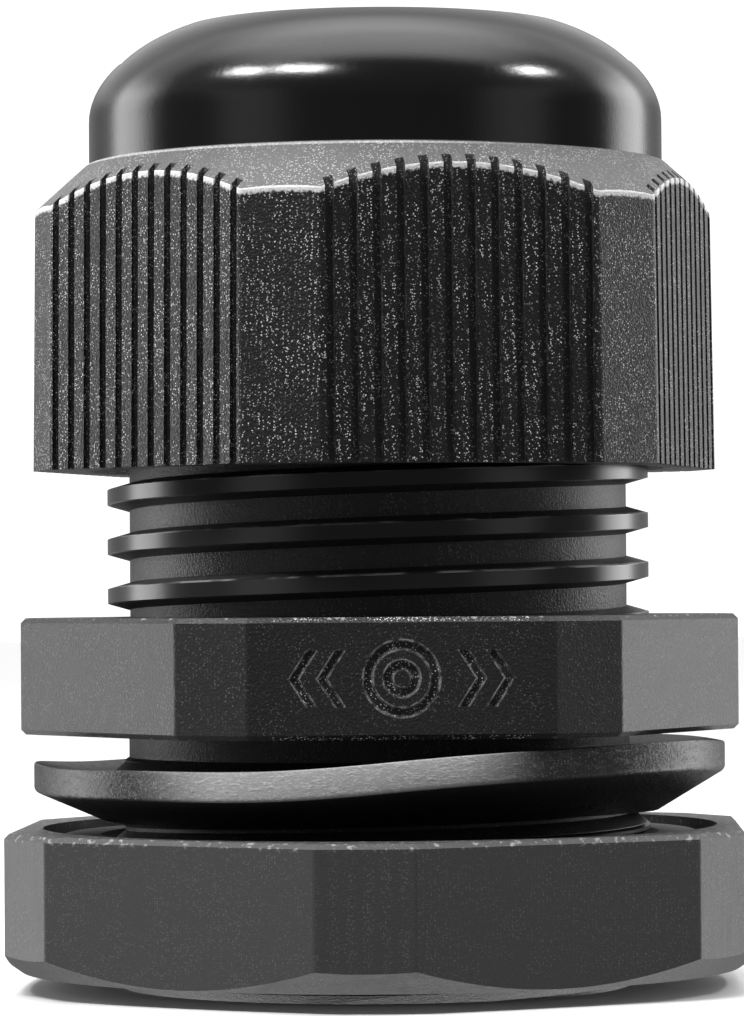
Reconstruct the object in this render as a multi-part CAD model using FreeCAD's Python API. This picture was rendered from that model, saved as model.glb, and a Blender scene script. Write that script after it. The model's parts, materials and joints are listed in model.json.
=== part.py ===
import FreeCAD, Part
import math
import os

from FreeCAD import Rotation, Vector

# A nylon cable gland for a 22.5 mm panel hole, in millimetres. Every piece is centred on the
# Z axis. The origin is the centre of the body's lower end, and the cable leaves upwards.

# Both threads are right-handed and have one crest radius.
CREST_R = 11.25
END_CHAMFER = 0.5               # lead-in at a thread's free end
GROOVE_PAST = 0.06              # how far a thread's cutter stands clear of the wall it cuts

# Panel thread: 18 turns to the inch with 80 degree flanks, cut short at crest and root.
PANEL_PITCH = 25.4 / 18
PANEL_CORE_R = 10.58
PANEL_CREST_W = 0.14
PANEL_FLANK_W = (CREST_R - PANEL_CORE_R) * math.tan(math.radians(40))
PANEL_CREST_Z = 0.9             # height of a crest's middle on the +X side
PANEL_THREAD_TOP = 9.3
PANEL_PLAY = (0.15, 0.0)        # gap to the locknut's thread: outwards, then along the axis

# Dome nut thread: a coarse moulded trapezoid.
DOME_PITCH = 2.05
DOME_CORE_R = 10.33
DOME_CREST_W = 0.6
DOME_FLANK_W = 0.26
DOME_CREST_Z = 19.23
DOME_PLAY = (0.1, 0.1)

# Gland body.
BODY_TOP = 28.0
BODY_BORE_R = 8.2
NECK_R = 10.4
FLANGE_Z = (10.5, 15.28)
FLANGE_APOTHEM = 13.67
FLANGE_FACET_W = 3.19           # the hexagon's corners are cut off by flats this wide
SEAT_R = 9.3                    # counterbore that holds the claw's ring
SEAT_Z = 21.8

# Mark debossed in the flange's front flat: two rings between pairs of chevrons.
MARK_DEPTH = 0.16
MARK_STROKE = 0.36
MARK_RING_R = (1.5, 0.72)
CHEVRON_X = (3.3, 4.4)          # place of each chevron's point, on both sides
CHEVRON_RISE = 1.1              # half the height of a chevron
CHEVRON_REACH = 0.7             # how far its arms come back from its point

# Dome nut.
NUT_LOW = 21.33
NUT_APOTHEM = 13.17
NUT_FACET_W = 3.28
NUT_TURN = 10.98                # degrees that its flats stand turned from the flange's
NUT_DRAFT = 0.6                 # degrees that its sides lean in as they rise
NUT_WALL_R = 11.93
DOME_MID = (4.49, 35.81)        # radius and height of the middle of the dome's elliptic rounding
DOME_AXES = (7.44, 4.31)        # its half-axes, outwards and up
CREASE_Z = 38.1                 # the crown above this is set in a little
CROWN_AXES = (7.26, 4.49)       # its own half-axes about the same middle
SHOULDER_Z = 34.0               # where the dome's wall meets the shoulder
LEDGE_W = 0.14                  # level ledge between the wall and the shoulder cone
SHOULDER_SLOPE = 42.0
SHOULDER_EDGE = 0.18            # rounding between the shoulder and the sides
MOUTH_R = 7.5
LIP_R = 0.45                    # rounding of the mouth's edge
CAVITY_Z = 33.5                 # where the cavity starts to close in
CONE_TOP = 37.5
NUT_THREAD_TOP = 31.0
GROOVES = 12                    # on each of the six flats
GROOVE_PITCH = 0.96
GROOVE_W = 0.38
GROOVE_DEPTH = 0.36

# Clamping claw: a ring with fingers that stands in the body's mouth.
CLAW_BORE_R = 8.4
CLAW_R = 9.2
CLAW_LIP_R = 10.0
CLAW_LIP_H = 0.8
CLAW_TIP = 32.6
FINGERS = 12
FINGER_GAP = 1.0

# Rubber sealing insert: a sleeve with a round bore for the cable.
SEAL_R = 8.25
SEAL_BORE_R = 7.1
SEAL_Z = (24.6, 36.2)
SEAL_LIP_R = 7.7                # its thinner upper lip
SEAL_STEP_Z = 33.9              # where the lip starts

# Rubber gasket washer, dished so that its rim stands towards the flange.
GASKET_R = (11.45, 14.35)
GASKET_THICK = 1.4
GASKET_Z = 7.0                  # lowest point, at the hole
DISH = 24.0

# Locknut.
LOCK_Z = (0.72, 6.58)
LOCK_APOTHEM = 15.0
LOCK_FACET_W = 3.94
LOCK_TURN = 24.15
LOCK_FOOT_R = 14.95             # where the cone at its lower edge starts
LOCK_SLOPE = 35.0               # degrees that the cone rises
CORING_R = (13.1, 14.0)         # annular groove moulded in its upper face
CORING_Z = 3.2
HUB_TOP = 6.3

EDGE = 0.2                      # chamfer on moulded edges
SOFT = 0.35                     # rounding of a hexagon's upright edges
UP = Vector(0, 0, 1)


def revolve(points):
    """A solid of revolution about Z from (radius, height) points."""
    outline = Part.makePolygon([Vector(r, 0, z) for r, z in points + points[:1]])
    return Part.Face(outline).revolve(Vector(), UP, 360)


def ring(inner, outer, low, high):
    return revolve([(inner, low), (outer, low), (outer, high), (inner, high)])


def hex_wire(apothem, facet_w, z):
    """A hexagon with cut corners and one flat towards -Y."""
    half = apothem / math.sqrt(3) - facet_w / math.sqrt(3)
    points = []
    for side in range(6):
        turn = Rotation(UP, 60 * side)
        for x in (-half, half):
            points.append(turn.multVec(Vector(x, -apothem, 0)) + Vector(0, 0, z))
    return Part.makePolygon(points + points[:1])


def hex_block(apothem, facet_w, low, high, turn=0.0, draft=0.0):
    """A hexagonal block with rounded upright edges; draft leans its sides in as they rise."""
    lean = (high - low) * math.tan(math.radians(draft))
    wires = [hex_wire(apothem, facet_w, low), hex_wire(apothem - lean, facet_w, high)]
    block = Part.makeLoft(wires, True, True)
    uprights = [e for e in block.Edges if e.BoundBox.ZLength > (high - low) / 2]
    block = block.makeFillet(SOFT, uprights)
    block.rotate(Vector(), UP, turn)
    return block


def helical_bar(pitch, section, mid_z, low, high):
    """A right-handed helical bar that runs past low and high.

    The section is (radius, width) pairs from the inside out, and its middle passes mid_z on
    the +X side.
    """
    start = mid_z + pitch * math.floor((low - mid_z) / pitch)
    turns = math.ceil((high - start) / pitch)
    turn = Part.makeHelix(pitch, pitch, section[0][0])
    spine = [turn.translated(Vector(0, 0, start + pitch * k)).Edges[0] for k in range(turns)]
    lower = [Vector(r, 0, start - width / 2) for r, width in section]
    upper = [Vector(r, 0, start + width / 2) for r, width in reversed(section)]
    outline = Part.makePolygon(lower + upper + lower[:1])
    return Part.Wire(spine).makePipeShell([outline], True, True)


def male_groove(pitch, core_r, crest_w, flank_w, crest_z, low, high):
    """What is cut from a rod of the crest radius to leave a thread on it."""
    slope = flank_w / (CREST_R - core_r)
    mouth = pitch - crest_w + 2 * slope * GROOVE_PAST
    root = pitch - crest_w - 2 * flank_w
    section = [(core_r, root), (CREST_R + GROOVE_PAST, mouth)]
    return helical_bar(pitch, section, crest_z + pitch / 2, low - pitch, high + pitch)


def female_groove(pitch, core_r, crest_w, flank_w, crest_z, play, low, high):
    """What is cut from a nut's plain bore to clear the thread by play."""
    out, along = play
    slope = flank_w / (CREST_R - core_r)
    foot = crest_w + 2 * (flank_w + along + slope * GROOVE_PAST)
    section = [(core_r + out - GROOVE_PAST, foot), (CREST_R + out, crest_w + 2 * along)]
    return helical_bar(pitch, section, crest_z, low - pitch, high + pitch)


PANEL_THREAD = (PANEL_PITCH, PANEL_CORE_R, PANEL_CREST_W, PANEL_FLANK_W, PANEL_CREST_Z)
DOME_THREAD = (DOME_PITCH, DOME_CORE_R, DOME_CREST_W, DOME_FLANK_W, DOME_CREST_Z)


def chevron(x, side):
    """The outline of a chevron whose point is at x and whose arms reach towards side."""
    tip, notch = x, x + side * MARK_STROKE
    arm, inner_arm = x + side * CHEVRON_REACH, x + side * (CHEVRON_REACH + MARK_STROKE)
    return [(tip, 0), (arm, CHEVRON_RISE), (inner_arm, CHEVRON_RISE),
            (notch, 0), (inner_arm, -CHEVRON_RISE), (arm, -CHEVRON_RISE)]


def mark():
    """The cutter for the debossed mark, in the flange's front flat."""
    start = Vector(0, -FLANGE_APOTHEM - 1, sum(FLANGE_Z) / 2)
    into = Vector(0, 1 + MARK_DEPTH, 0)
    pieces = []
    for r in MARK_RING_R:
        disc = Part.makeCylinder(r, into.y, start, Vector(0, 1, 0))
        pieces.append(disc.cut(Part.makeCylinder(r - MARK_STROKE, into.y, start, Vector(0, 1, 0))))
    for x in CHEVRON_X:
        for side in (-1, 1):
            corners = [Vector(px, 0, pz) + start for px, pz in chevron(side * x, -side)]
            pieces.append(Part.Face(Part.makePolygon(corners + corners[:1])).extrude(into))
    return Part.makeCompound(pieces)


def gland_body():
    """Threaded shank, neck, hexagonal flange and threaded tube, in one moulding."""
    tube_outline = [(BODY_BORE_R, FLANGE_Z[1]), (CREST_R, FLANGE_Z[1]),
                (CREST_R, BODY_TOP - CREST_R + DOME_CORE_R), (DOME_CORE_R, BODY_TOP),
                (BODY_BORE_R, BODY_TOP)]
    tube = revolve(tube_outline).cut(male_groove(*DOME_THREAD, FLANGE_Z[1], BODY_TOP))
    shank = revolve([(BODY_BORE_R, 0), (CREST_R - END_CHAMFER, 0), (CREST_R, END_CHAMFER),
                     (CREST_R, PANEL_THREAD_TOP - 0.4), (NECK_R, PANEL_THREAD_TOP + 0.2),
                     (NECK_R, FLANGE_Z[0]), (BODY_BORE_R, FLANGE_Z[0])])
    shank = shank.cut(male_groove(*PANEL_THREAD, 0, PANEL_THREAD_TOP))
    flange = hex_block(FLANGE_APOTHEM, FLANGE_FACET_W, *FLANGE_Z)
    rims = [e for e in flange.Edges if e.BoundBox.ZLength < 0.01]
    flange = flange.makeChamfer(EDGE, rims)
    flange = flange.cut(Part.makeCylinder(BODY_BORE_R, BODY_TOP)).cut(mark())
    seat = Part.makeCylinder(SEAT_R, BODY_TOP, Vector(0, 0, SEAT_Z))
    return shank.fuse([flange, tube]).cut(seat)


def clamping_claw():
    """A ring with a lip on the body's rim, and fingers that the dome nut's cone closes."""
    lip_top = BODY_TOP + CLAW_LIP_H
    blank = revolve([(CLAW_BORE_R, SEAT_Z + 0.05), (CLAW_R, SEAT_Z + 0.05), (CLAW_R, BODY_TOP),
                     (CLAW_LIP_R, BODY_TOP), (CLAW_LIP_R, lip_top - 0.2),
                     (CLAW_LIP_R - 0.2, lip_top), (CLAW_R, lip_top), (CLAW_R, CLAW_TIP - 0.5),
                     (CLAW_R - 0.35, CLAW_TIP), (CLAW_BORE_R, CLAW_TIP)])
    slots = []
    for k in range(FINGERS):
        slot = Part.makeBox(CLAW_R, FINGER_GAP, CLAW_TIP, Vector(4, -FINGER_GAP / 2, lip_top))
        slot.rotate(Vector(), UP, 360 / FINGERS * (k + 0.5))
        slots.append(slot)
    return blank.cut(Part.makeCompound(slots))


def sealing_insert():
    """A sleeve with a stepped lip at its mouth and eased edges."""
    low, high = SEAL_Z
    return revolve([(SEAL_BORE_R + 0.5, low), (SEAL_R - 0.3, low), (SEAL_R, low + 0.3),
                    (SEAL_R, SEAL_STEP_Z), (SEAL_LIP_R, SEAL_STEP_Z + 0.5),
                    (SEAL_LIP_R, high - 0.2), (SEAL_LIP_R - 0.2, high),
                    (SEAL_BORE_R + 0.2, high), (SEAL_BORE_R, high - 0.4),
                    (SEAL_BORE_R, low + 0.8)])


def dome_point(z, axes):
    """The elliptic outline with those half-axes at height z, in the XZ plane."""
    share = (z - DOME_MID[1]) / axes[1]
    return Vector(DOME_MID[0] + axes[0] * math.sqrt(1 - share ** 2), 0, z)


def dome_arc(low_z, high_z, axes):
    """The stretch of that outline between two heights."""
    mid = Vector(DOME_MID[0], 0, DOME_MID[1])
    outward, up = axes
    ellipse = Part.Ellipse(mid + Vector(outward, 0, 0), mid + Vector(0, 0, up), mid)
    angles = [math.asin((z - DOME_MID[1]) / up) for z in (low_z, high_z)]
    return Part.ArcOfEllipse(ellipse, *angles).toShape()


def lip_height():
    """Where the crown meets the rounding of the mouth's edge."""
    share = (MOUTH_R + LIP_R - DOME_MID[0]) / CROWN_AXES[0]
    return DOME_MID[1] + CROWN_AXES[1] * math.sqrt(1 - share ** 2)


def nut_envelope():
    """The turned outline of the dome nut: shoulder, wall, dome and crown."""
    far = 20.0
    ledge_r = NUT_WALL_R + LEDGE_W
    fall = (far - ledge_r) * math.tan(math.radians(SHOULDER_SLOPE))
    lip_z = lip_height()
    corners = [Vector(0, 0, NUT_LOW), Vector(far, 0, NUT_LOW), Vector(far, 0, SHOULDER_Z - fall),
               Vector(ledge_r, 0, SHOULDER_Z), Vector(NUT_WALL_R, 0, SHOULDER_Z),
               Vector(NUT_WALL_R, 0, DOME_MID[1])]
    edges = [Part.makeLine(a, b) for a, b in zip(corners, corners[1:])]
    crease = [dome_point(CREASE_Z, axes) for axes in (DOME_AXES, CROWN_AXES)]
    edges.append(dome_arc(DOME_MID[1], CREASE_Z, DOME_AXES))
    edges.append(Part.makeLine(*crease))
    edges.append(dome_arc(CREASE_Z, lip_z, CROWN_AXES))
    edges.append(Part.makeLine(dome_point(lip_z, CROWN_AXES), Vector(0, 0, lip_z)))
    edges.append(Part.makeLine(Vector(0, 0, lip_z), corners[0]))
    return Part.Face(Part.Wire(edges)).revolve(Vector(), UP, 360)


def grip_grooves():
    """Upright grooves in the dome nut's six flats, leaning with the draft."""
    low, high = NUT_LOW - 1, SHOULDER_Z + 1
    grooves = []
    for side in range(6):
        for k in range(GROOVES):
            x = (k - (GROOVES - 1) / 2) * GROOVE_PITCH
            place = Vector(x - GROOVE_W / 2, -NUT_APOTHEM - 1, low)
            bar = Part.makeBox(GROOVE_W, 1 + GROOVE_DEPTH, high - low, place)
            bar.rotate(Vector(0, -NUT_APOTHEM, NUT_LOW), Vector(1, 0, 0), -NUT_DRAFT)
            bar.rotate(Vector(), UP, 60 * side + NUT_TURN)
            grooves.append(bar)
    return Part.makeCompound(grooves)


def dome_nut():
    """The sealing nut: ribbed hexagon, shoulder, dome and a thread inside."""
    top = lip_height()
    block = hex_block(NUT_APOTHEM, NUT_FACET_W, NUT_LOW, top, NUT_TURN, NUT_DRAFT)
    block = block.common(nut_envelope())
    rim = [e for e in block.Edges if is_shoulder_edge(e)]
    block = block.makeFillet(SHOULDER_EDGE, rim).cut(grip_grooves())
    bore_r = DOME_CORE_R + DOME_PLAY[0]
    mouth_r = CREST_R + 0.7
    cavity = revolve([(0, NUT_LOW - 1), (mouth_r, NUT_LOW - 1), (mouth_r, NUT_LOW),
                      (bore_r, NUT_LOW + 1.2), (bore_r, CAVITY_Z), (MOUTH_R, CONE_TOP),
                      (MOUTH_R, top - LIP_R), (MOUTH_R + 0.13, top - 0.13),
                      (MOUTH_R + LIP_R, top + 0.01), (0, top + 0.01)])
    thread = female_groove(*DOME_THREAD, DOME_PLAY, NUT_LOW, NUT_THREAD_TOP - DOME_PITCH)
    return block.cut(cavity).cut(thread)


def is_shoulder_edge(edge):
    """Whether an edge of the blank runs between the shoulder cone and the sides."""
    box = edge.BoundBox
    reach = max(math.hypot(v.X, v.Y) for v in edge.Vertexes)
    return box.ZMax < SHOULDER_Z - 0.3 and box.ZMin > SHOULDER_Z - 4 and reach > NUT_APOTHEM - 0.4


def gasket():
    """A conical washer with upright edges."""
    inner, outer = GASKET_R
    lean = math.radians(DISH)
    rise = (outer - inner) * math.tan(lean)
    tall = GASKET_THICK / math.cos(lean)
    return revolve([(inner, GASKET_Z), (outer, GASKET_Z + rise),
                    (outer, GASKET_Z + rise + tall), (inner, GASKET_Z + tall)])


def locknut():
    """A cored hexagonal nut with a cone at its lower edge."""
    low, top = LOCK_Z
    block = hex_block(LOCK_APOTHEM, LOCK_FACET_W, low, top, LOCK_TURN)
    rims = [e for e in block.Edges if e.BoundBox.ZMin > top - 0.01]
    block = block.makeChamfer(EDGE, rims)
    reach = 4.0
    rise = reach * math.tan(math.radians(LOCK_SLOPE))
    cone = revolve([(0, low), (LOCK_FOOT_R, low), (LOCK_FOOT_R + reach, low + rise),
                    (LOCK_FOOT_R + reach, top), (0, top)])
    block = block.common(cone).cut(ring(*CORING_R, CORING_Z, top + 1))
    bore_r = PANEL_CORE_R + PANEL_PLAY[0]
    mouth_r = CREST_R + PANEL_PLAY[0] + 0.2
    bore = revolve([(0, low - 1), (mouth_r, low - 1), (mouth_r, low), (bore_r, low + 0.9),
                    (bore_r, HUB_TOP - 0.9), (mouth_r, HUB_TOP), (mouth_r, top + 1), (0, top + 1)])
    block = block.cut(bore).cut(ring(0, CORING_R[0] + 0.01, HUB_TOP, top + 1))
    return block.cut(female_groove(*PANEL_THREAD, PANEL_PLAY, low, top))


NODES = {
    "gland_body": gland_body,
    "clamping_claw": clamping_claw,
    "sealing_insert": sealing_insert,
    "dome_nut": dome_nut,
    "gasket": gasket,
    "locknut": locknut,
}


def main():
    os.makedirs("parts", exist_ok=True)
    for name, make in NODES.items():
        make().exportStep("parts/" + name + ".step")


main()
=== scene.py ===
# %% [markdown]
# # Dressing a nylon cable gland
#
# A cable gland leads a cable through a panel and grips it there. This one is six mouldings on one
# axis: a domed sealing nut, a claw and a rubber insert inside it, a body with a hexagonal flange,
# a rubber gasket and a locknut. Their shapes and places come from a fixed CAD model, so this
# script never moves them. It makes the soft rubber pieces again with their real waviness, gives
# every piece its finish, and sets up a small studio.

# %% Load the fixed model
import json
import math

import bpy
from mathutils import Matrix, Vector

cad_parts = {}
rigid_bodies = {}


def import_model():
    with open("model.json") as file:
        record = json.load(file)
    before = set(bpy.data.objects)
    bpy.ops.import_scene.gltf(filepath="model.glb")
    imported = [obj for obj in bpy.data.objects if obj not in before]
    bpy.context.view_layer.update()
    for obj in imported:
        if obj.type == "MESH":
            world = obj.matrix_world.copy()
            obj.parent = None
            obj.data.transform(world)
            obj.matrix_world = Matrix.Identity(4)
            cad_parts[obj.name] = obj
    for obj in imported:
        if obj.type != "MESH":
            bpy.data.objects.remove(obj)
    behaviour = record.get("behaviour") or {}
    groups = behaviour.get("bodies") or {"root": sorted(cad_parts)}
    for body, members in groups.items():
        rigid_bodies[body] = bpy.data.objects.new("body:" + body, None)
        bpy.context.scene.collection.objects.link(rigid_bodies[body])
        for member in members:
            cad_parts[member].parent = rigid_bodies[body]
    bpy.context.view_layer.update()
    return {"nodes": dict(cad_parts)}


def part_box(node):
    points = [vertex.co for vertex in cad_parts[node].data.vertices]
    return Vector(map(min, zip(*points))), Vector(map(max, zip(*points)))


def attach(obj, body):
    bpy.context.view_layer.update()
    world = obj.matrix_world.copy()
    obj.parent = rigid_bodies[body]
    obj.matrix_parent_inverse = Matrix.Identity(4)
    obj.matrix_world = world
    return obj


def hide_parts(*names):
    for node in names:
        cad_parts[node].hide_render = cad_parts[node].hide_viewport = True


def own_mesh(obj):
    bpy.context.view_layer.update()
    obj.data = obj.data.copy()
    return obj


for leftover in list(bpy.data.objects):
    bpy.data.objects.remove(leftover)

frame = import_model()
nodes = frame["nodes"]
MM = 0.001

# %% [markdown]
# ## Camera
#
# A close, level view with a long lens keeps the hexagons almost free of perspective. The camera
# could be aimed with a Track To constraint, but a rotation built from three directions also
# allows a small roll. The eye stands a little to the left of the flange's front flat.

# %% Camera
EYE_AZIMUTH = math.radians(-3.75)
EYE_DISTANCE = 207.3 * MM
EYE_HEIGHT = 16.25 * MM
AIM_HEIGHT = 19.6 * MM
AIM_LEFT = 0.24 * MM
ROLL = math.radians(0.4)
LENS = 174.9

to_eye = Vector((math.sin(EYE_AZIMUTH), -math.cos(EYE_AZIMUTH), 0))
to_right = Vector((-to_eye.y, to_eye.x, 0))
eye = to_eye * EYE_DISTANCE + Vector((0, 0, EYE_HEIGHT))
aim = Vector((0, 0, AIM_HEIGHT)) - to_right * AIM_LEFT

bpy.ops.object.camera_add(location=eye)
camera = bpy.context.object
camera.name = "camera"
camera.data.lens = LENS
camera.data.clip_start = 10 * MM
look = (aim - eye).to_track_quat("-Z", "Y").to_matrix()
camera.rotation_euler = (look @ Matrix.Rotation(-ROLL, 3, "Z")).to_euler()
bpy.context.scene.camera = camera
print("eye", [round(value / MM, 1) for value in eye])

# %% [markdown]
# ## Floor and light
#
# Black plastic shows its shape only through what it mirrors. So the room is white behind the
# gland and dim on the camera's side: facets that turn away catch the white, and the front ones
# stay nearly black. Three high lamps make the dome's highlights. The floor could bounce light
# up into the gland, but it is hidden from mirror and bounce rays to keep the front dark.

# %% Floor
FLOOR_HALF = 1.5
bpy.ops.mesh.primitive_plane_add(size=2 * FLOOR_HALF, location=(0, 0, 0))
floor = bpy.context.object
floor.name = "floor"
floor.visible_glossy = False
floor.visible_diffuse = False


def plain_material(name, color, roughness):
    material = bpy.data.materials.new(name)
    material.use_nodes = True
    shader = material.node_tree.nodes["Principled BSDF"]
    shader.inputs["Base Color"].default_value = (*color, 1)
    shader.inputs["Roughness"].default_value = roughness
    return material


floor.data.materials.append(plain_material("floor_white", (0.9, 0.9, 0.9), 0.7))


# %% Lamps
def lamp(name, direction, distance, size, radiance, aim_at):
    """A rectangular lamp seen from aim_at in that direction, facing it."""
    data = bpy.data.lights.new(name, "AREA")
    data.shape = "RECTANGLE"
    data.size, data.size_y = size
    data.energy = radiance * math.pi * size[0] * size[1]
    made = bpy.data.objects.new(name, data)
    away = Vector(direction).normalized()
    made.location = Vector(aim_at) + away * distance
    made.rotation_euler = away.to_track_quat("Z", "Y").to_euler()
    bpy.context.scene.collection.objects.link(made)


LAMP_DISTANCE = 0.3
nut_low, nut_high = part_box("dome_nut")
dome_middle = (0, 0, nut_high.z - 4 * MM)
lamp("lamp_left", (-0.64, -0.23, 0.73), LAMP_DISTANCE, (0.06, 0.045), 45, dome_middle)
lamp("lamp_middle", (-0.42, -0.45, 0.79), LAMP_DISTANCE, (0.08, 0.045), 50, dome_middle)
lamp("lamp_right", (0.71, -0.16, 0.69), LAMP_DISTANCE, (0.055, 0.045), 40, dome_middle)

# %% [markdown]
# ## The white room
#
# Softboxes would be the usual way to light black plastic, but each would have to be placed and
# masked. Here the world's background is the whole room: its strength is a sum of smooth steps of
# the direction, for the walls at the sides, the white behind, a low glow behind and the ceiling.

# %% The room's brightness from each side
SEEN_WHITE = 1.15               # strength that the camera itself sees
FRONT_DIM = 0.11                # the least strength of any direction
FRONT_SIDES = 0.42              # of the walls at the sides
SIDES_ABOVE = 0.35              # share of the sides' light that is left higher up
BACK_SIDES = 3.9                # of the white behind, to the left and right
STRAIGHT_BACK = 0.05            # share of it that is left straight behind the gland
HIGH_BACK = 0.22                # and high up behind it
LOW_GLOW = 0.5                  # behind the gland and a little up, for the dome's top rim
CEILING = 2.9                   # of the white overhead

world = bpy.data.worlds.new("studio")
bpy.context.scene.world = world
world.use_nodes = True
sky = world.node_tree


def sky_node(kind, **settings):
    made = sky.nodes.new("ShaderNode" + kind)
    for key, value in settings.items():
        setattr(made, key, value)
    return made


def link_or_set(socket, value):
    if isinstance(value, bpy.types.NodeSocket):
        sky.links.new(value, socket)
    else:
        socket.default_value = value


def sky_math(operation, first, second):
    made = sky_node("Math", operation=operation)
    link_or_set(made.inputs[0], first)
    link_or_set(made.inputs[1], second)
    return made.outputs[0]


def sky_step(value, start, end, low, high):
    """low where value is under start, high where it is over end, smooth between."""
    made = sky_node("MapRange", interpolation_type="SMOOTHSTEP")
    for name, number in (("From Min", start), ("From Max", end), ("To Min", low), ("To Max", high)):
        made.inputs[name].default_value = number
    link_or_set(made.inputs["Value"], value)
    return made.outputs[0]


# %% The room
direction = sky_node("TexCoord")
split = sky_node("SeparateXYZ")
sky.links.new(direction.outputs["Generated"], split.inputs[0])
aside, away, above = split.outputs
off_axis = sky_math("ABSOLUTE", aside, 0)
sides = sky_step(off_axis, 0.5, 0.8, 0, FRONT_SIDES)
sides = sky_math("MULTIPLY", sides, sky_step(off_axis, 0.86, 0.97, 1, 0))
sides = sky_math("MULTIPLY", sides, sky_step(above, 0.25, 0.5, 1, SIDES_ABOVE))
white = sky_step(away, 0.16, 0.42, 0, BACK_SIDES)
white = sky_math("MULTIPLY", white, sky_step(away, 0.6, 0.72, 1, STRAIGHT_BACK))
white = sky_math("MULTIPLY", white, sky_step(above, 0.3, 0.6, 1, HIGH_BACK))
glow = sky_step(above, 0.12, 0.3, 0, LOW_GLOW)
glow = sky_math("MULTIPLY", glow, sky_step(away, 0.5, 0.75, 0, 1))
ceiling = sky_step(above, 0.72, 1.0, 0, CEILING)
ceiling = sky_math("MULTIPLY", ceiling, sky_step(away, -0.42, -0.08, 0, 1))
lit = FRONT_DIM
for part in (sides, white, glow, ceiling):
    lit = sky_math("ADD", part, lit)

# %% What the camera sees of it
seen = sky_node("LightPath")
choose = sky_node("MapRange")
choose.inputs["To Max"].default_value = SEEN_WHITE
room = sky.nodes["Background"]
sky.links.new(lit, choose.inputs["To Min"])
sky.links.new(seen.outputs["Is Camera Ray"], choose.inputs["Value"])
sky.links.new(choose.outputs[0], room.inputs["Strength"])
room.inputs["Color"].default_value = (1, 1, 1, 1)
bpy.context.scene.view_settings.view_transform = "Standard"

# %% [markdown]
# ## Writing shader maths as Python
#
# Moulded nylon is the same colour all over, and its look comes from how its surface varies: spark
# texture, glossy polish, worn edges. Such maps are sums and products of noises and distances.
# Linking Math nodes by hand hides the formula, so a small class wraps a socket, and an
# expression on wires adds the nodes.


# %% A wire and a finish
class Wire:
    """A shader socket; arithmetic on it adds Math nodes to its finish."""

    def __init__(self, finish, socket):
        self.finish = finish
        self.socket = socket

    def _math(self, operation, *values):
        inputs = dict(enumerate(values))
        return self.finish.node("Math", {"operation": operation}, inputs)

    def __add__(self, other):
        return self._math("ADD", self, other)

    def __mul__(self, other):
        return self._math("MULTIPLY", self, other)

    def __sub__(self, other):
        return self._math("SUBTRACT", self, other)

    def __rsub__(self, other):
        return self._math("SUBTRACT", other, self)

    def __pow__(self, other):
        return self._math("POWER", self, other)

    def __abs__(self):
        return self._math("ABSOLUTE", self)

    __radd__ = __add__
    __rmul__ = __mul__

    def larger(self, other):
        return self._math("MAXIMUM", self, other)

    def part(self):
        """What is left over the whole number below."""
        return self._math("FRACT", self)

    def near(self, middle, reach):
        """1 at middle and 0 further off than reach."""
        return 1 - abs(self - middle).rise(reach / 2, reach)

    def rise(self, low, high):
        """0 below low, 1 above high and a smooth step between them."""
        inputs = {"Value": self, "From Min": low, "From Max": high}
        return self.finish.node("MapRange", {"interpolation_type": "SMOOTHSTEP"}, inputs)


class Finish:
    """A material with one Principled shader, and the nodes that feed it."""

    def __init__(self, name, base_color, roughness):
        self.material = plain_material(name, base_color, roughness)
        self.tree = self.material.node_tree
        self.shader = self.tree.nodes["Principled BSDF"]
        coordinates = self.node("TexCoord", output="Object")
        self.place = coordinates
        split = self.tree.nodes.new("ShaderNodeSeparateXYZ")
        self.tree.links.new(coordinates.socket, split.inputs[0])
        self.x, self.y, self.z = (Wire(self, out) for out in split.outputs)
        self.radius = (self.x * self.x + self.y * self.y) ** 0.5

    def node(self, kind, settings=(), inputs=(), output=0):
        """One output of a new node, with its settings made before its sockets are fed."""
        made = self.tree.nodes.new("ShaderNode" + kind)
        for key, value in dict(settings).items():
            setattr(made, key, value)
        for key, value in dict(inputs).items():
            self.feed(made.inputs[key], value)
        return Wire(self, made.outputs[output])

    def feed(self, socket, value):
        if isinstance(value, Wire):
            self.tree.links.new(value.socket, socket)
        else:
            socket.default_value = value

    def set(self, **values):
        """Feeds the shader's sockets; an underscore stands for a space."""
        for key, value in values.items():
            self.feed(self.shader.inputs[key.replace("_", " ")], value)

    def noise(self, size, detail=2.0, place=None):
        """Noise from 0 to 1 with features about size across."""
        inputs = {"Vector": place or self.place, "Scale": 1 / size, "Detail": detail}
        return self.node("TexNoise", (), inputs)

    def stretched(self, *scale):
        """The place with each axis scaled, which stretches a pattern where the scale is small."""
        inputs = {"Vector": self.place, "Scale": scale}
        return self.node("Mapping", (), inputs)

    def cells(self, size, output="Distance"):
        """Distance to the nearest of scattered points, or each cell's own random colour."""
        return self.node("TexVoronoi", (), {"Vector": self.place, "Scale": 1 / size}, output)

    def mix(self, share, first, second):
        """A colour between first and second."""
        inputs = {0: share, 6: (*first, 1) if isinstance(first, tuple) else first,
                  7: (*second, 1) if isinstance(second, tuple) else second}
        return self.node("Mix", {"data_type": "RGBA"}, inputs, 2)

    def bump(self, height, depth):
        """Grain up to depth deep, as bump."""
        inputs = {"Height": height, "Distance": depth, "Strength": 1.0}
        self.set(Normal=self.node("Bump", (), inputs))


def wear(node_name, finish):
    """Gives a CAD piece its finish, in every material slot it has."""
    for place in nodes[node_name].material_slots:
        place.material = finish.material
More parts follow.
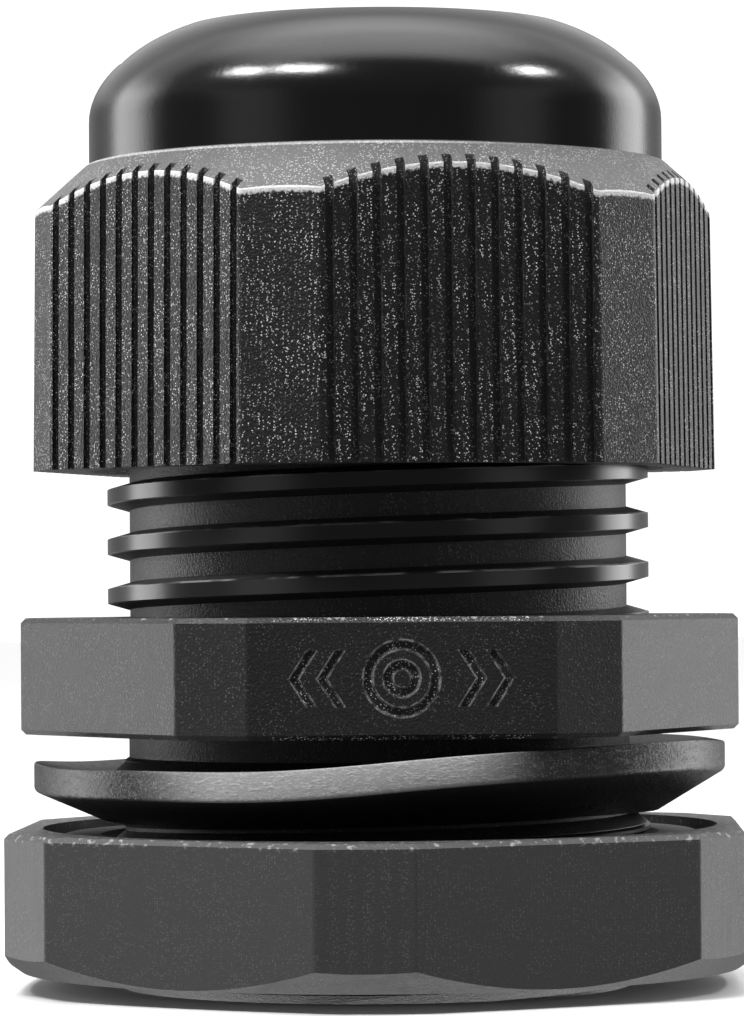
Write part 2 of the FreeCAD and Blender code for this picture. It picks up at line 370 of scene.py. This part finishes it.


# %% [markdown]
# ## Spark-textured nylon
#
# The mould's hexagon faces were cut by sparks, which leaves a fine field of tiny craters. Their
# rims glint as scattered white points on the black nylon. Bump alone gives soft leather, and real
# craters would need millions of faces, so two patterns share the work: a fine bump roughens the
# sheen, and a Voronoi lottery picks a few cells and paints the middle of each white, as painted
# glints.

# %% Spark texture
BLACK = (0.006, 0.006, 0.0063)
# A pale white for painted glints and painted highlights, and for the locknut's real wear.
PAINTED_GLINT_AND_WEAR_WHITE = (0.95, 0.95, 0.96)
SPARK_SIZE = 0.07 * MM
SPARK_DEPTH = 0.03 * MM
PATCH_SIZE = 1.4 * MM           # glints come in patches of about this size


def painted_glints(finish, size=SPARK_SIZE, chosen=0.6):
    """1 in the middle of a few scattered cells, where the lottery is above chosen: painted glints.
    """
    lottery = finish.cells(size, "Color").rise(chosen, chosen + 0.12)
    middle = 1 - finish.cells(size).rise(0.2, 0.5)
    patches = finish.noise(PATCH_SIZE, 1).rise(0.3, 0.62)
    return lottery * middle * (patches * 0.8 + 0.2)


def spark_height(finish):
    """Craters of two sizes, as a height from 0 to about 1."""
    return finish.noise(SPARK_SIZE, 3) * 0.7 + finish.cells(SPARK_SIZE * 1.6) * 0.5


# %% [markdown]
# ## The dome nut's finish
#
# Three zones share one moulding: a polished dome with a trace of grain, a frosted shoulder, and
# the spark-textured hexagon, with a painted highlight along its ribs' tops. The zones could be
# painted
# on the mesh, but distances say the same: height finds the dome, the distance under the
# shoulder's cone finds the ribs' tops, and the reach along six directions tells ribs from grooves.

# %% Where the nut's edges are
NUT_TURN = math.radians(10.98)
FLAT_REACH = 12.95 * MM         # the flats' least distance from the axis; grooves lie nearer
FACET_REACH = 14.0 * MM         # and that of the flats that cut the corners
SHOULDER_TAN = math.tan(math.radians(42))
SHOULDER_TOP = 12.67 * MM       # height of the shoulder's top over the nut's lower edge
SHOULDER_R = 12.07 * MM         # and its radius there

dome = Finish("dome_nylon", BLACK, 0.3)
dome_wall_z = nut_low.z + SHOULDER_TOP


def reach(finish, first_angle):
    """The largest distance out along six directions, the first at first_angle."""
    best = None
    for k in range(3):
        angle = first_angle + math.radians(60 * k)
        along = abs(finish.x * math.cos(angle) + finish.y * math.sin(angle))
        best = along if best is None else best.larger(along)
    return best


on_flat = reach(dome, NUT_TURN - math.radians(90)).rise(FLAT_REACH, FLAT_REACH + 0.04 * MM)
on_facet = reach(dome, NUT_TURN - math.radians(60)).rise(FACET_REACH, FACET_REACH + 0.04 * MM)
outside = on_flat.larger(on_facet)
below_cone = (dome_wall_z - (dome.radius - SHOULDER_R) * SHOULDER_TAN) - dome.z
print("shoulder meets the wall at", round(dome_wall_z / MM, 2), "mm")

# %% Dome nut
polished = dome.z.rise(dome_wall_z - 0.03 * MM, dome_wall_z + 0.03 * MM)
on_cone = (1 - below_cone.rise(0.02 * MM, 0.06 * MM)) * (1 - polished)
sides = (1 - polished) * (1 - on_cone)
grain = dome.noise(0.16 * MM, 2)
fine = dome.noise(0.07 * MM, 2)
ragged = dome.noise(0.15 * MM, 3)
scuffs = dome.noise(2.4 * MM, 4, dome.stretched(1, 1, 0.25)).rise(0.62, 0.78)
# Painted highlight: a pale band along the ribs' tops, just under the shoulder's cone.
top_band = 1 - (below_cone + ragged * 0.3 * MM).rise(0.3 * MM, 0.44 * MM)
cap_highlights = top_band * outside * below_cone.rise(0.012 * MM, 0.03 * MM)
# Painted highlight along the ledge where the shoulder meets the dome, on the left side only.
ledge_highlight = dome.z.near(dome_wall_z - 0.02 * MM, 0.09 * MM) * dome.x.near(-9 * MM, 16 * MM)
# The shoulder's own frosted grey, with painted glints over it.
frost_and_painted_glints = (0.1 + painted_glints(dome, 0.085 * MM, 0.45) * 0.45) * on_cone
# Painted light: the grooves between the ribs are made a little paler.
painted_groove_light = (1 - outside) * sides * 0.055
# All the painted glints and highlights, and the shoulder's frost, as paleness in the base colour.
painted_light_and_frost = painted_glints(dome) * sides + frost_and_painted_glints + cap_highlights * 0.9 + painted_groove_light + ledge_highlight * ragged * 0.7
dome.set(Base_Color=dome.mix(painted_light_and_frost, BLACK, PAINTED_GLINT_AND_WEAR_WHITE))
glossy = polished * (0.13 + grain * 0.08 + scuffs * 0.1)
dome.set(Roughness=glossy + (1 - polished) * (0.34 + fine * 0.18))
dome.bump((1 - polished) * spark_height(dome) + polished * (grain * 0.08 + fine * 0.1), SPARK_DEPTH)
wear("dome_nut", dome)

# %% [markdown]
# ## The body's finish
#
# The flange has the same spark texture, a little finer. The threads run against the mould's
# polished core, so their crests are glossy, and the grooves between them are satin. Radius tells
# crest from groove, and height less the angle's share of a pitch finds a crest's edge all round,
# where a thin highlight is painted.
# The mark is debossed too shallowly to cast shadows, and on the real part its raised burrs catch
# the light. Distances from its circles and slanted lines paint that light along them as pale lines.

# %% Where the body's edges are
CREST_R = 11.1 * MM
FLANGE_LOW = 10.5 * MM
FLANGE_HIGH = 15.28 * MM
FLANGE_FRONT_Y = -13.67 * MM    # the marked flat
# How far the painted highlight patches reach in from the flange's edges.
EDGE_HIGHLIGHT_REACH = 0.1 * MM                 # how far nicks reach from the flange's edges
THREAD_PITCH = 2.05 * MM
THREAD_CREST_Z = 19.23 * MM     # a crest's middle on the +X side
CREST_SHARE = 0.155             # half a crest's width, in pitches

body = Finish("body_nylon", BLACK, 0.4)
above_low = body.z.rise(FLANGE_LOW - 0.02 * MM, FLANGE_LOW)
below_high = 1 - body.z.rise(FLANGE_HIGH, FLANGE_HIGH + 0.02 * MM)
in_flange = above_low * below_high
crest = body.radius.rise(CREST_R, CREST_R + 0.04 * MM) * (1 - in_flange)
near_top = body.z.rise(FLANGE_HIGH - EDGE_HIGHLIGHT_REACH, FLANGE_HIGH - EDGE_HIGHLIGHT_REACH / 2)
near_low = 1 - body.z.rise(FLANGE_LOW + EDGE_HIGHLIGHT_REACH / 2, FLANGE_LOW + EDGE_HIGHLIGHT_REACH)
turns = body.node("Math", {"operation": "ARCTAN2"}, {0: body.y, 1: body.x}) * (0.5 / math.pi)
phase = ((body.z - THREAD_CREST_Z) * (1 / THREAD_PITCH) - turns + 0.5).part() - 0.5
# Painted highlight: a thin pale line along each thread crest's edge.
crest_edge_highlight = phase.near(CREST_SHARE, 0.025) * body.z.rise(FLANGE_HIGH, FLANGE_HIGH + 0.2 * MM)

# %% The mark's edges
MARK_Z = (FLANGE_LOW + FLANGE_HIGH) / 2
MARK_STROKE = 0.36 * MM
RING_R = (1.5 * MM, 0.72 * MM)  # outer edge of each ring
CHEVRON_X = (3.3 * MM, 4.4 * MM)                # each chevron's point, from the middle
CHEVRON_RISE = 1.1 * MM         # half a chevron's height
CHEVRON_LEAN = 0.7 / 1.1        # how fast its arms come back from its point
MARK_HALF_W = 5 * MM
# The painted highlight along a burr is twice this wide.
LINE = 0.075 * MM               # half a burr's width

up = body.z - MARK_Z
from_middle = (body.x * body.x + up * up) ** 0.5
beside = abs(body.x) + abs(up) * CHEVRON_LEAN
in_chevron = 1 - abs(up).rise(CHEVRON_RISE, CHEVRON_RISE + 0.03 * MM)
# Painted highlight: pale lines along the mark's ring and chevron edges.
mark_edge_highlight = 0
for outer in RING_R:
    for edge in (outer, outer - MARK_STROKE):
        mark_edge_highlight = mark_edge_highlight + from_middle.near(edge, LINE)
for point in CHEVRON_X:
    for edge in (point, point - MARK_STROKE):
        mark_edge_highlight = mark_edge_highlight + beside.near(edge, LINE) * in_chevron
in_front = 1 - body.y.rise(FLANGE_FRONT_Y + 0.17 * MM, FLANGE_FRONT_Y + 0.27 * MM)
sunk = body.y.rise(FLANGE_FRONT_Y + 0.03 * MM, FLANGE_FRONT_Y + 0.07 * MM) * in_front
in_mark = sunk * (1 - abs(body.x).rise(MARK_HALF_W, MARK_HALF_W + 0.1 * MM))

# %% Gland body
# Painted highlight: pale patches along the flange's edges, brighter along the top.
edge_highlight_patches = body.noise(0.35 * MM, 3).rise(0.58, 0.7) * (near_top + near_low * 0.5) * in_flange
# Gaps that break up the mark's painted edge highlight.
highlight_gaps = body.noise(0.3 * MM, 3).rise(0.3, 0.7)
# Painted glints: sparse on the flange and thread grooves, dense on the mark's floor.
body_painted_light = painted_glints(body, 0.08 * MM, 0.62) * 0.14 * (1 - crest) + painted_glints(body, 0.08 * MM, 0.4) * in_mark
body_painted_light = body_painted_light + edge_highlight_patches * 0.4 + mark_edge_highlight * in_front * highlight_gaps * 0.28
body_painted_light = body_painted_light + crest_edge_highlight * body.noise(1.8 * MM, 3).rise(0.42, 0.66) * 0.3
# The body's base colour carries all its painted glints and painted highlights.
body.set(Base_Color=body.mix(body_painted_light, (0.018, 0.018, 0.0184), PAINTED_GLINT_AND_WEAR_WHITE))
body.set(Roughness=crest * 0.2 + (1 - crest) * (0.34 + body.noise(0.1 * MM) * 0.2))
body.bump((1 - crest) * spark_height(body), 0.026 * MM)
wear("gland_body", body)

# %% [markdown]
# ## The locknut's finish
#
# The locknut comes from another mould with a finer, duller skin. It looks dark grey where the
# others look black. Fine grain carries the look, with faint upright drag marks from the mould
# and a few painted glints.

# %% Locknut
lock_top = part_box("locknut")[1].z
lock = Finish("locknut_nylon", BLACK, 0.45)
drag = lock.noise(0.3 * MM, 3, lock.stretched(1, 1, 0.12))
# Painted glints, a few and faint.
lock_painted_glints = painted_glints(lock, 0.07 * MM, 0.6) * 0.12
rim = lock.z.rise(lock_top - 0.35 * MM, lock_top - 0.15 * MM)
worn = lock.noise(0.3 * MM, 4).rise(0.56, 0.68) * rim
lock.set(Base_Color=lock.mix(lock_painted_glints + worn * 0.3, (0.06, 0.06, 0.061), PAINTED_GLINT_AND_WEAR_WHITE))
lock.set(Roughness=0.36 + drag * 0.14 + lock.noise(0.12 * MM) * 0.12)
lock.bump(lock.noise(0.08 * MM, 3) + drag * 0.3, 0.014 * MM)
wear("locknut", lock)

# %% [markdown]
# ## The clamping claw's finish
#
# The claw is smooth nylon straight from a polished mould, with the faint flow marks that such
# mouldings have. Only its fingers' tips can be seen, down inside the mouth.

# %% Clamping claw
claw = Finish("claw_nylon", BLACK, 0.35)
flow = claw.noise(1.5 * MM, 2, claw.stretched(1, 1, 0.3))
claw.set(Roughness=0.26 + flow * 0.2)
claw.bump(claw.noise(0.2 * MM) + flow, 0.006 * MM)
wear("clamping_claw", claw)


# %% [markdown]
# ## Round rubber pieces
#
# The insert and the gasket are both rings, and a ring is its section spun round the axis. A
# lathe-like Screw modifier would do it too, but the spin operator leaves a plain mesh that the
# next steps can bend. The section starts as a circle with one vertex for each corner.

# %% Spin a section
RING_STEPS = 288


def spun_ring(name, section, soft):
    """A ring with the section's (radius, height) corners, rounded by soft."""
    bpy.ops.object.select_all(action="DESELECT")
    bpy.ops.mesh.primitive_circle_add(vertices=len(section), fill_type="NOTHING")
    made = bpy.context.object
    made.name = name
    for vertex, (radius, height) in zip(made.data.vertices, section):
        vertex.co = (radius, 0, height)
    bpy.ops.object.mode_set(mode="EDIT")
    bpy.ops.mesh.select_all(action="SELECT")
    bpy.ops.mesh.spin(steps=RING_STEPS, angle=2 * math.pi, center=(0, 0, 0), axis=(0, 0, 1))
    bpy.ops.mesh.select_all(action="SELECT")
    bpy.ops.mesh.remove_doubles(threshold=0.005 * MM)
    bpy.ops.mesh.normals_make_consistent(inside=False)
    bpy.ops.object.mode_set(mode="OBJECT")
    bevel = made.modifiers.new("soft_edges", "BEVEL")
    bevel.width = soft
    bevel.segments = 3
    bevel.angle_limit = math.radians(25)
    bpy.ops.object.modifier_apply(modifier=bevel.name)
    bpy.ops.object.shade_smooth_by_angle(angle=math.radians(40))
    print(name, len(made.data.polygons), "faces")
    return made


# %% [markdown]
# ## The sealing insert
#
# The insert is a soft sleeve. Its bore has shallow ring grooves that make sealing ribs on the
# cable, and its upper lip is thinner, where the nut's cone folds it inwards. The grooves are
# worked into the section before it is spun.

# %% Sealing insert
INSERT_BORE_R = 7.1 * MM
INSERT_LIP_R = 7.7 * MM
INSERT_STEP_Z = 33.9 * MM
INSERT_SOFT = 0.08 * MM         # rounding of its edges
RIB_PITCH = 1.9 * MM
RIB_GROOVE = (0.3 * MM, 0.8 * MM)               # depth and width

insert_low, insert_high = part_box("sealing_insert")
insert_r = insert_high.x
deep, wide = RIB_GROOVE
bore_side = [(INSERT_BORE_R, insert_high.z)]
rib_z = insert_high.z - RIB_PITCH
while rib_z > insert_low.z + RIB_PITCH:
    bore_side.append((INSERT_BORE_R, rib_z + wide / 2))
    bore_side.append((INSERT_BORE_R + deep, rib_z + wide / 4))
    bore_side.append((INSERT_BORE_R + deep, rib_z - wide / 4))
    bore_side.append((INSERT_BORE_R, rib_z - wide / 2))
    rib_z -= RIB_PITCH
bore_side.append((INSERT_BORE_R, insert_low.z))
outer_side = [(insert_r, insert_low.z), (insert_r, INSERT_STEP_Z - (insert_r - INSERT_LIP_R)),
              (INSERT_LIP_R, INSERT_STEP_Z), (INSERT_LIP_R, insert_high.z)]
insert = spun_ring("insert_sleeve", bore_side + outer_side, INSERT_SOFT)

insert_rubber = Finish("insert_rubber", (0.018, 0.018, 0.018), 0.6)
bloom_and_painted_glare = insert_rubber.noise(1.6 * MM, 3).rise(0.35, 0.75)
insert_rubber.set(Base_Color=insert_rubber.mix(bloom_and_painted_glare, (0.012, 0.012, 0.012), (0.03, 0.03, 0.031)))
insert_rubber.set(Roughness=0.5 + bloom_and_painted_glare * 0.22)
insert_rubber.bump(insert_rubber.noise(0.12 * MM, 3), 0.01 * MM)
insert.data.materials.append(insert_rubber.material)
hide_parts("sealing_insert")
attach(insert, "seal")

# %% [markdown]
# ## The gasket
#
# The free gasket is a dished rubber washer that has taken a set, so its rim goes up and down
# as it goes round. It could be relaxed with a cloth simulation, but the set is its own and not a
# drape. The rim's height is written as a few slow waves of the angle, which fade towards the hole.

# %% Gasket
GASKET_HOLE_R = 11.45 * MM
GASKET_TALL = 1.53 * MM         # upright thickness at the hole
RIM_TALL = 1.22 * MM            # and at the rim
RIM_DROP = 0.08 * MM            # before the waves, its top is this much lower than the CAD ring's
GASKET_SOFT = 0.16 * MM         # rounding of its edges
HOLE_SHARE = 0.3                # share of the waves that is left at the hole

gasket_low, gasket_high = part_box("gasket")
gasket_r = gasket_high.x
rim_low = gasket_high.z - RIM_TALL - RIM_DROP
section = [(GASKET_HOLE_R, gasket_low.z), (gasket_r, rim_low), (gasket_r, rim_low + RIM_TALL),
           (GASKET_HOLE_R, gasket_low.z + GASKET_TALL)]
gasket = spun_ring("gasket_ring", section, GASKET_SOFT)


def rim_wave(angle):
    """How far the rim stands above its mean height, at an angle from +X towards +Y."""
    tilt = 0.54 * math.cos(angle + math.radians(6))
    ripple = 0.17 * math.cos(3 * (angle + math.radians(56)))
    flutter = 0.04 * math.cos(7 * (angle - math.radians(20)))
    return (tilt + ripple + flutter - 0.04) * MM


for vertex in gasket.data.vertices:
    out = (math.hypot(vertex.co.x, vertex.co.y) - GASKET_HOLE_R) / (gasket_r - GASKET_HOLE_R)
    share = HOLE_SHARE + (1 - HOLE_SHARE) * out
    vertex.co.z += rim_wave(math.atan2(vertex.co.y, vertex.co.x)) * share
low = min(vertex.co.z for vertex in gasket.data.vertices)
high = max(vertex.co.z for vertex in gasket.data.vertices)
print("gasket from", round(low / MM, 2), "to", round(high / MM, 2), "mm")

# %% Gasket rubber and how it moves
rubber = Finish("gasket_rubber", (0.02, 0.02, 0.02), 0.5)
upper = rubber.radius.rise(gasket_r - 0.12 * MM, gasket_r - 0.02 * MM)
chafed = rubber.noise(0.5 * MM, 4, rubber.stretched(1, 1, 2.5)).rise(0.5, 0.75)
streaks = rubber.noise(0.14 * MM, 3, rubber.stretched(0.7, 0.7, 1.6)).rise(0.45, 0.8)
# Painted highlight: a pale glare on the front-left of the rim.
bloom_and_painted_glare = rubber.x.near(-2.5 * MM, 8.5 * MM) * (1 - rubber.y.rise(-9 * MM, -7 * MM))
# Painted glints on the rim.
rubber_painted_glints = painted_glints(rubber, 0.07 * MM, 0.5)
# The rim's pale skin: real chafing and streaks, with the painted glare and painted glints.
rim_skin_and_painted_glare = upper * (chafed * 0.05 + streaks * 0.03 + bloom_and_painted_glare * (0.75 + streaks * 0.3) + rubber_painted_glints * 0.3)
rubber.set(Base_Color=rubber.mix(rim_skin_and_painted_glare, (0.006, 0.006, 0.006), (0.6, 0.6, 0.605)))
rubber.set(Roughness=0.5 - upper * 0.14 + chafed * 0.15)
rubber.bump(rubber.noise(0.12 * MM, 3) * 0.5 + streaks * 0.3 + chafed * 0.5, 0.024 * MM)
gasket.data.materials.append(rubber.material)
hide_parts("gasket")
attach(gasket, "gasket")
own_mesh(gasket)
